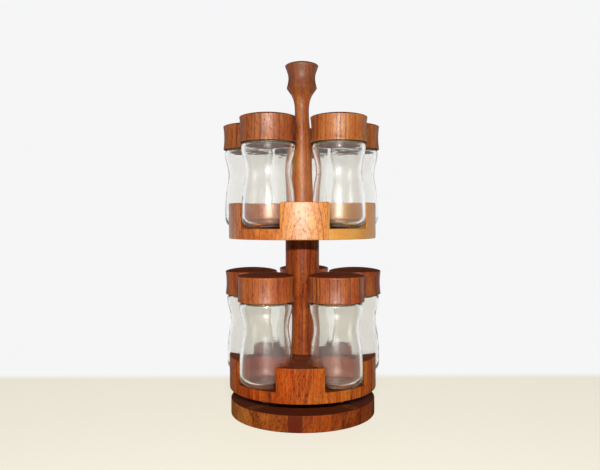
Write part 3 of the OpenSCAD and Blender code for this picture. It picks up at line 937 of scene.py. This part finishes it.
@dataclass
class Jar:
    """A waisted glass jar with its teak lid and rubber seal."""

    level: Level
    number: int
    lid_wood: Teak
    height: float = 76.2
    radius: float = 24.0
    waist: Pair = (20.6, 50.5)
    side: float = 13.0
    neck: float = 4.6
    shoulder: float = 1.6
    corner: float = 9.3
    wall: float = 2.4
    bottom: float = 3.8
    punt: Pair = (12.0, 0.9)
    rim_flat: float = 0.45
    lid_radius: float = 25.4
    lid_height: float = 23.0
    lid_hollow: float = 0.85
    lid_dome: float = 3.0
    lid_edge: float = 0.7
    plug: float = 2.6
    seal: float = 3.8
    seal_room: float = 0.3
    seal_lip: float = 0.4

    @property
    def key(self) -> str:
        """The words that the jar's nodes and bodies end with."""
        return f"{self.level.value}_{self.number}"

    def glass(self) -> bmesh.types.BMesh:
        """Returns the jar's glass, standing on z = 0, with its wall, thick bottom and rounded rim."""
        r, h, w, corner = self.radius, self.height, self.wall, self.corner
        neck_z = h - self.neck
        waist_r, waist_z = self.waist
        draw, flare = waist_z - self.side, neck_z - waist_z
        lip = (w - self.shoulder) * (1 - self.rim_flat)
        inner = corner - w
        rim_r = r - self.shoulder
        line = Outline(0.0, self.punt[1])
        line.curve((self.punt[0] * 0.6, self.punt[1]), (self.punt[0] * 0.9, self.punt[1] * 0.4),
                   (self.punt[0], 0.0), 10)
        line.to(r - corner, 0.0).round((r - corner, corner), -90, 0, 12).to(r, self.side)
        line.curve((r, self.side + draw * 0.69), (waist_r, waist_z - draw * 0.19), self.waist, 28)
        line.curve((waist_r, waist_z + flare * 0.5), (r - 0.3, neck_z - flare * 0.34), (r, neck_z), 20)
        line.curve((r, neck_z + self.neck * 0.58), (rim_r + self.shoulder * 0.5, h - self.neck * 0.1), (rim_r, h), 14)
        line.to(r - w + lip, h)
        line.round((r - w + lip, h - lip), 90, 180, 6).to(r - w, neck_z)
        line.curve((r - w - 0.3, neck_z - flare * 0.34), (waist_r - w, waist_z + flare * 0.5),
                   (waist_r - w, waist_z), 20)
        line.curve((waist_r - w, waist_z - draw * 0.19), (r - w, self.side + draw * 0.69), (r - w, self.side), 28)
        line.to(r - w, self.bottom + inner).round((r - w - inner, self.bottom + inner), 0, -90, 12)
        line.to(0.0, self.bottom)
        return line.turned(96)

    def lid(self) -> bmesh.types.BMesh:
        """Returns the lid with its plug, its hollowed side and its dome, resting on z = 0."""
        r, h, e = self.lid_radius, self.lid_height, self.lid_edge
        pull, top = self.lid_hollow * 4 / 3, self.lid_height + self.lid_dome
        plug_r = self.radius - self.wall - self.seal_room - self.seal_lip - self.seal
        line = Outline(0.0, -self.plug).to(plug_r, -self.plug).to(plug_r, 0.0).to(r - e, 0.0)
        line.curve((r - e * 0.45, 0.0), (r, e * 0.45), (r, e), 5)
        line.curve((r - pull, h / 3), (r - pull, h * 2 / 3), (r, h - e), 16)
        line.curve((r, h + self.lid_dome * 0.25), (r * 0.55, top), (0.0, top), 36)
        return line.turned(112)

    def ring(self) -> bmesh.types.BMesh:
        """Returns the rubber seal, hanging below z = 0 round the plug."""
        out = self.radius - self.wall - self.seal_room
        flat = out - self.seal_lip
        inner = flat - self.seal + 0.05
        p = self.plug
        line = Outline(inner, -p).to(flat, -p)
        line.curve((flat, -p * 0.85), (out, -p * 0.82), (out, -p * 0.74), 5)
        line.curve((out, -p * 0.66), (flat, -p * 0.64), (flat, -p * 0.5), 5)
        line.curve((flat, -p * 0.38), (out, -p * 0.36), (out, -p * 0.26), 5)
        line.curve((out, -p * 0.18), (flat, -p * 0.15), (flat, 0.0), 5)
        line.to(inner, 0.0)
        return line.turned(80)

    def build(self, glass: bpy.types.Material, rubber: bpy.types.Material, top: bpy.types.Material) -> None:
        """Makes the jar, its lid and its seal in their places.

        Args:
            glass: the jars' finish.
            rubber: the seals' finish.
            top: the finish of the lid's end-grain top, darkened as painted shade.
        """
        seat = middle_of(f"jar_{self.key}")
        rim = seat + Vector((0, 0, self.height * MM))
        jar = finished(f"glass_{self.key}", self.glass(), seat, glass)
        stand_for(jar, f"jar_{self.key}", f"jar_{self.key}")
        lid = finished(f"cap_{self.key}", self.lid(), rim, self.lid_wood.material())
        # Faces that point up take the darker top finish: painted shade on the lid's top.
        lid.data.materials.append(top)
        for face in lid.data.polygons:
            face.material_index = int(face.normal.z > 0.6)
        stand_for(lid, f"lid_{self.key}", f"lid_{self.key}")
        ring = finished(f"ring_{self.key}", self.ring(), rim, rubber)
        stand_for(ring, f"seal_{self.key}", f"lid_{self.key}")


@dataclass(frozen=True)
class Blank:
    """The blank that a lid is turned from: its tone, its gold, its dark lines and where its pith lies."""

    tone: float = 0.05
    gold: float = 0.1
    line: float = 0.3
    pith: Pair = (110.0, 60.0)


@dataclass
class Jars:
    """All the jars of both tiers, each lid turned from its own piece of wood."""

    # The lower jars' glass is tinted darker and yellower than the upper jars' glass: painted shade from the tier above.
    lower_glass_shaded: Glass = Glass("jar_glass_lower_shaded", tint=(0.91, 0.9, 0.86), haze=0.4)
    upper_glass: Glass = Glass("jar_glass_upper", shade=(0.87, 0.865, 0.86))
    rubber: Rubber = Rubber("seal_rubber")
    # Lid tops: end grain darkened almost to the dark colour as painted shade from the tier above, with little oil.
    top: Teak = Teak("lid_end_grain_and_shade", pith=(0.0, 0.0), lean=(4.0, 3.0), stripe=0.4, tone=0.1, seed=40.0, end=1.15,
                     oil=0.12)
    blanks: dict[str, Blank] = field(default_factory=lambda: {
        "lower_1": Blank(0.06, 0.05, 0.2, (130.0, 25.0)), "lower_2": Blank(0.1, 0.0, 0.3, (-120.0, 30.0)),
        "lower_4": Blank(0.25, -0.1, 0.3, (140.0, -20.0)), "lower_5": Blank(0.15, 0.0, 0.6, (-125.0, 20.0)),
        "upper_1": Blank(0.17, 0.5, 0.35, (-140.0, 15.0)), "upper_2": Blank(0.09, 0.3, 0.3, (120.0, 40.0)),
        "upper_4": Blank(0.1, 0.5, 0.3, (-110.0, 50.0)), "upper_5": Blank(-0.03, 0.6, 0.4, (135.0, -15.0))})

    def wood(self, key: str, number: int) -> Teak:
        """Returns a lid's own teak.

        Args:
            key: the lid's words, such as lower_1.
            number: a count that sets its log apart from the others.
        """
        blank = self.blanks.get(key, Blank())
        centre = middle_of(f"lid_{key}") / MM
        return Teak(f"lid_oiled_{key}", centre=tuple(centre), pith=blank.pith, lean=(1.0 - number % 3, 1.5 - number % 4),
                    ring=2.4 + 0.2 * (number % 5), stripe=0.2, line=blank.line, drift=2.0, tone=blank.tone,
                    seed=20.0 + number, staves=(Stave(gold=blank.gold),))

    def build(self) -> None:
        """Makes every jar with its lid and seal."""
        glasses = {Level.LOWER: self.lower_glass_shaded.material(), Level.UPPER: self.upper_glass.material()}
        rubber, top = self.rubber.material(), self.top.material()
        count = 0
        for level in Level:
            for number in range(1, 6):
                count += 1
                Jar(level, number, self.wood(f"{level.value}_{number}", count)).build(glasses[level], rubber, top)


# Stage


@dataclass
class Studio:
    """The camera, the pale floor and the soft light."""

    lens: float = 38.46
    eye: tuple[float, float, float] = (-2.18, -615.9, 184.5)
    pitch: float = 1.39
    roll: float = -0.19
    floor_colour: Colour = (0.84, 0.80, 0.68)
    backdrop: Colour = (0.92, 0.92, 0.93)
    key_power: float = 4.3
    key_size: Pair = (130.0, 18.0)
    key_rise: float = 101.0
    fill: tuple[float, float, float, float] = (0.06, 0.75, 3.0, 0.02)
    wall_glow: float = 0.9

    def camera(self) -> None:
        """Makes the camera at the photograph's viewing point."""
        data = bpy.data.cameras.new("camera")
        data.lens = self.lens
        data.sensor_width = 36.0
        data.clip_start, data.clip_end = 0.01, 20.0
        camera = bpy.data.objects.new("camera", data)
        camera.location = Vector(self.eye) * MM
        tilt = Euler((math.radians(90 - self.pitch), 0.0, 0.0)).to_matrix()
        camera.rotation_euler = (tilt @ Matrix.Rotation(math.radians(self.roll), 3, "Z")).to_euler()
        bpy.context.scene.collection.objects.link(camera)
        bpy.context.scene.camera = camera

    def floor(self) -> None:
        """Makes the pale floor, which fades into the backdrop away from the rack."""
        bm = bmesh.new()
        bmesh.ops.create_circle(bm, cap_ends=True, segments=96, radius=3.0)
        material = bpy.data.materials.new("pale_floor")
        material.use_nodes = True
        graph = Graph(material.node_tree)
        shader = material.node_tree.nodes["Principled BSDF"]
        point = graph.add("TexCoord").outputs["Object"]
        away = graph.add("VectorMath", {0: point}, operation="LENGTH").outputs["Value"]
        depth = graph.add("SeparateXYZ", {0: point}).outputs["Y"]
        fade = graph.math("MAXIMUM", graph.ramp(away, 0.4, 0.6), graph.ramp(depth, 0.118, 0.152))
        shader.inputs["Base Color"].default_value = (*self.floor_colour, 1.0)
        shader.inputs["Roughness"].default_value = 0.6
        glow = graph.add("Emission", {"Color": (*self.floor_colour, 1.0), "Strength": 1.38})
        white = graph.add("Emission", {"Color": (*self.backdrop, 1.0), "Strength": 1.0})
        lit = graph.add("MixShader", {0: 0.62, 1: shader.outputs["BSDF"], 2: glow.outputs["Emission"]})
        faded = graph.add("MixShader", {0: fade, 1: lit.outputs["Shader"], 2: white.outputs["Emission"]})
        dim = graph.math("MULTIPLY", self.blurred(graph),
                         graph.math("SUBTRACT", 1.0, self.wall(graph, graph.math("DIVIDE", depth, away))))
        veiled = graph.add("MixShader", {0: dim, 1: faded.outputs["Shader"]})
        both = graph.add("MixShader", {0: self.seen(graph), 1: shader.outputs["BSDF"], 2: veiled.outputs["Shader"]})
        graph.feed(material.node_tree.nodes["Material Output"].inputs["Surface"], both.outputs["Shader"])
        finished("floor", bm, Vector(), material)

    def blurred(self, graph: Graph) -> bpy.types.NodeSocket:
        """Returns 1 for a ray that a dull or oiled surface mirrors."""
        path = graph.add("LightPath")
        sharp = graph.math("MAXIMUM", path.outputs["Is Singular Ray"], path.outputs["Is Transmission Ray"])
        soft = graph.math("SUBTRACT", path.outputs["Is Glossy Ray"], sharp)
        soft.node.use_clamp = True
        return soft

    def wall(self, graph: Graph, ahead: bpy.types.NodeSocket) -> bpy.types.NodeSocket:
        """Returns how bright a dull surface mirrors the backdrop, by how far ahead of the camera it lies."""
        return graph.math("MULTIPLY", graph.ramp(ahead, 0.1, 0.9), self.wall_glow)

    def seen(self, graph: Graph) -> bpy.types.NodeSocket:
        """Returns 1 for a ray that shows the backdrop: straight, mirrored or through glass."""
        path = graph.add("LightPath")
        mirrored = graph.math("MAXIMUM", path.outputs["Is Glossy Ray"], path.outputs["Is Transmission Ray"])
        return graph.math("MAXIMUM", path.outputs["Is Camera Ray"], mirrored)

    def surroundings(self) -> None:
        """Makes the world: a dim fill, brighter from the sides, that is seen as a white backdrop."""
        world = bpy.data.worlds.new("studio")
        world.use_nodes = True
        bpy.context.scene.world = world
        graph = Graph(world.node_tree)
        fill = world.node_tree.nodes["Background"]
        fill.inputs["Color"].default_value = (1.0, 0.985, 0.96, 1.0)
        way = graph.add("SeparateXYZ", {0: graph.add("TexCoord").outputs["Generated"]}).outputs
        across = graph.math("ABSOLUTE", way["X"])
        ahead, side, behind, above = self.fill
        strength = graph.math("MULTIPLY_ADD", graph.ramp(across, 0.3, 0.9), side - ahead, ahead)
        strength = graph.math("MULTIPLY_ADD", graph.ramp(way["Y"], 0.2, 0.9), behind, strength)
        strength = graph.math("MULTIPLY_ADD", graph.ramp(way["Z"], 0.02, 0.45), graph.math("SUBTRACT", above, strength),
                              strength)
        graph.feed(fill.inputs["Strength"], strength)
        white = graph.add("Background", {"Color": (*self.backdrop, 1.0), "Strength": 1.0})
        level = graph.math("MULTIPLY", self.wall(graph, way["Y"]), graph.ramp(way["Z"], 0.25, 0.04))
        level = graph.math("MULTIPLY_ADD", self.blurred(graph), graph.math("SUBTRACT", level, 1.0), 1.0)
        graph.feed(white.inputs["Strength"], level)
        both = graph.add("MixShader", {0: self.seen(graph), 1: fill.outputs["Background"],
                                       2: white.outputs["Background"]})
        graph.feed(world.node_tree.nodes["World Output"].inputs["Surface"], both.outputs["Shader"])

    def lamp(self, name: str, place: tuple[float, float, float], target: tuple[float, float, float],
             size: Pair, power: float) -> None:
        """Hangs a soft lamp.

        Args:
            name: the lamp's name.
            place: where it hangs, in millimetres.
            target: what it points at, in millimetres.
            size: its width and height in millimetres.
            power: its power in watts.
        """
        data = bpy.data.lights.new(name, "AREA")
        data.shape = "RECTANGLE"
        data.size, data.size_y = size[0] * MM, size[1] * MM
        data.energy = power
        lamp = bpy.data.objects.new(name, data)
        lamp.visible_camera = lamp.visible_transmission = False
        lamp.location = Vector(place) * MM
        lamp.rotation_euler = (Vector(target) - Vector(place)).to_track_quat("-Z", "Y").to_euler()
        bpy.context.scene.collection.objects.link(lamp)

    def build(self) -> None:
        """Makes the camera first, then the light and the floor."""
        self.camera()
        self.surroundings()
        self.floor()
        front = (self.eye[0], self.eye[1] - 60.0, self.eye[2] + self.key_rise)
        self.lamp("key", front, (0.0, 0.0, 160.0), self.key_size, self.key_power)
        bpy.context.scene.view_settings.view_transform = "Standard"


def main() -> None:
    """Builds the stage and the rack's sub-assemblies in order."""
    logging.basicConfig(level=logging.INFO, format="%(message)s")
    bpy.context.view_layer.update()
    Studio().build()
    Base().build()
    lower = Teak("tier_lower_oiled", pith=(30.0, 120.0), lean=(2.0, 0.5), stripe=0.4, line=0.4, seed=5.0, oil=0.12,
                 fleck=0.35, staves=(Stave(-50.0, 0.0, -0.3), Stave(-20.0, 0.19, -0.7), Stave(-8.5, 0.16, -0.7),
                                     Stave(22.0, 0.09, 0.05), Stave(tone=-0.03, gold=-0.1)))
    Tier(Level.LOWER, -2.0, 31.0, lower).build("carousel")
    upper = Teak("tier_upper_oiled", centre=(0.0, 0.0, 182.0), pith=(0.0, -57.0), lean=(10.0, 0.0), ring=2.6,
                 stripe=0.2, line=0.35, drift=5.0, seed=7.0, own=8.0, oil=1.0, rough=0.32, light=(0.74, 0.25, 0.03),
                 fleck=0.4, staves=(Stave(-20.0, -0.2, -0.1), Stave(22.0, -0.29, 0.3), Stave(tone=-0.72, gold=0.7)))
    Tier(Level.UPPER, 1.6, 32.9, upper).build("carousel")
    Posts().build("carousel")
    Jars().build()


if __name__ == "__main__":
    main()
